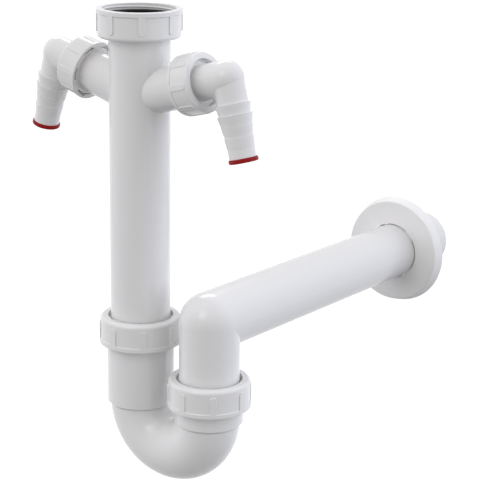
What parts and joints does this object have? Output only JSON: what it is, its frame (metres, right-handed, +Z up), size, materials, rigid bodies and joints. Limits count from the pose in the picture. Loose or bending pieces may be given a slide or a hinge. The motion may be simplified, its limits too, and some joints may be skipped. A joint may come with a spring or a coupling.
{
  "type": "tubular trap",
  "caption": "White tubular sink trap with a union nut inlet, barbed hose branches with plugs, a U-bend with slip nuts, and an outlet pipe with a wall flange.",
  "frame": {"origin": "centre of the inlet nut's mouth, on the inlet axis", "axes": "+Z up along the inlet axis, +X from the inlet leg to the outlet leg, +Y along the outlet pipe to the wall"},
  "size_m": [0.1952, 0.2927, 0.3147],
  "materials": {
    "white_plastic": "smooth white polypropylene",
    "seal_plastic": "soft natural polyethylene",
    "black_rubber": "matt black rubber",
    "red_plastic": "smooth red plastic"
  },
  "bodies": {
    "inlet_tube": {"inlet_tube": "white_plastic", "inlet_washer": "black_rubber", "left_branch_washer": "black_rubber", "right_branch_washer": "black_rubber"},
    "inlet_nut": {"inlet_nut": "white_plastic"},
    "u_bend": {"u_bend": "white_plastic"},
    "u_bend_inlet_nut": {"u_bend_inlet_nut": "white_plastic"},
    "u_bend_outlet_nut": {"u_bend_outlet_nut": "white_plastic"},
    "outlet_pipe": {"outlet_pipe": "white_plastic"},
    "wall_flange": {"wall_flange": "white_plastic"},
    "u_bend_inlet_seal": {"u_bend_inlet_seal": "seal_plastic"},
    "u_bend_outlet_seal": {"u_bend_outlet_seal": "seal_plastic"},
    "left_branch_nut": {"left_branch_nut": "white_plastic"},
    "left_hose_elbow": {"left_hose_elbow": "white_plastic"},
    "left_hose_plug": {"left_hose_plug": "red_plastic"},
    "right_branch_nut": {"right_branch_nut": "white_plastic"},
    "right_hose_elbow": {"right_hose_elbow": "white_plastic"},
    "right_hose_plug": {"right_hose_plug": "red_plastic"}
  },
  "joints": [
    {"name": "inlet_nut_turn", "type": "hinge", "parent": "inlet_tube", "child": "inlet_nut", "pos_m": [0, 0, 0], "axis": [0, 0, 1], "continuous": true},
    {"name": "u_bend_slide", "type": "slide", "parent": "inlet_tube", "child": "u_bend_inlet_seal", "axis": [0, 0, -1], "range_m": [-0.007, 0.025]},
    {"name": "u_bend_swivel", "type": "hinge", "parent": "u_bend_inlet_seal", "child": "u_bend", "pos_m": [0, 0, -0.2], "axis": [0, 0, 1], "continuous": true},
    {"name": "u_bend_inlet_nut_turn", "type": "hinge", "parent": "u_bend", "child": "u_bend_inlet_nut", "pos_m": [0, 0, -0.2], "axis": [0, 0, 1], "continuous": true},
    {"name": "u_bend_outlet_nut_turn", "type": "hinge", "parent": "u_bend", "child": "u_bend_outlet_nut", "pos_m": [0.06, 0, -0.24], "axis": [0, 0, 1], "continuous": true},
    {"name": "outlet_swivel", "type": "hinge", "parent": "u_bend", "child": "u_bend_outlet_seal", "pos_m": [0.06, 0, -0.24], "axis": [0, 0, 1], "range_deg": [-215, 35]},
    {"name": "outlet_slide", "type": "slide", "parent": "u_bend_outlet_seal", "child": "outlet_pipe", "axis": [0, 0, 1], "range_m": [-0.003, 0.01]},
    {"name": "flange_slide", "type": "slide", "parent": "outlet_pipe", "child": "wall_flange", "axis": [0, 1, 0], "range_m": [-0.12, 0.03]},
    {"name": "left_nut_turn", "type": "hinge", "parent": "inlet_tube", "child": "left_branch_nut", "pos_m": [-0.04347, 0, -0.04435], "axis": [-0.9659, 0, 0.2588], "continuous": true},
    {"name": "left_elbow_swivel", "type": "hinge", "parent": "inlet_tube", "child": "left_hose_elbow", "pos_m": [-0.05796, 0, -0.04047], "axis": [-0.9659, 0, 0.2588], "continuous": true},
    {"name": "left_plug_pull", "type": "slide", "parent": "left_hose_elbow", "child": "left_hose_plug", "axis": [-0.2588, 0, -0.9659], "range_m": [0, 0.012]},
    {"name": "right_nut_turn", "type": "hinge", "parent": "inlet_tube", "child": "right_branch_nut", "pos_m": [0.04347, 0, -0.04435], "axis": [0.9659, 0, 0.2588], "continuous": true},
    {"name": "right_elbow_swivel", "type": "hinge", "parent": "inlet_tube", "child": "right_hose_elbow", "pos_m": [0.05796, 0, -0.04047], "axis": [0.9659, 0, 0.2588], "continuous": true},
    {"name": "right_plug_pull", "type": "slide", "parent": "right_hose_elbow", "child": "right_hose_plug", "axis": [0.2588, 0, -0.9659], "range_m": [0, 0.012]}
  ]
}
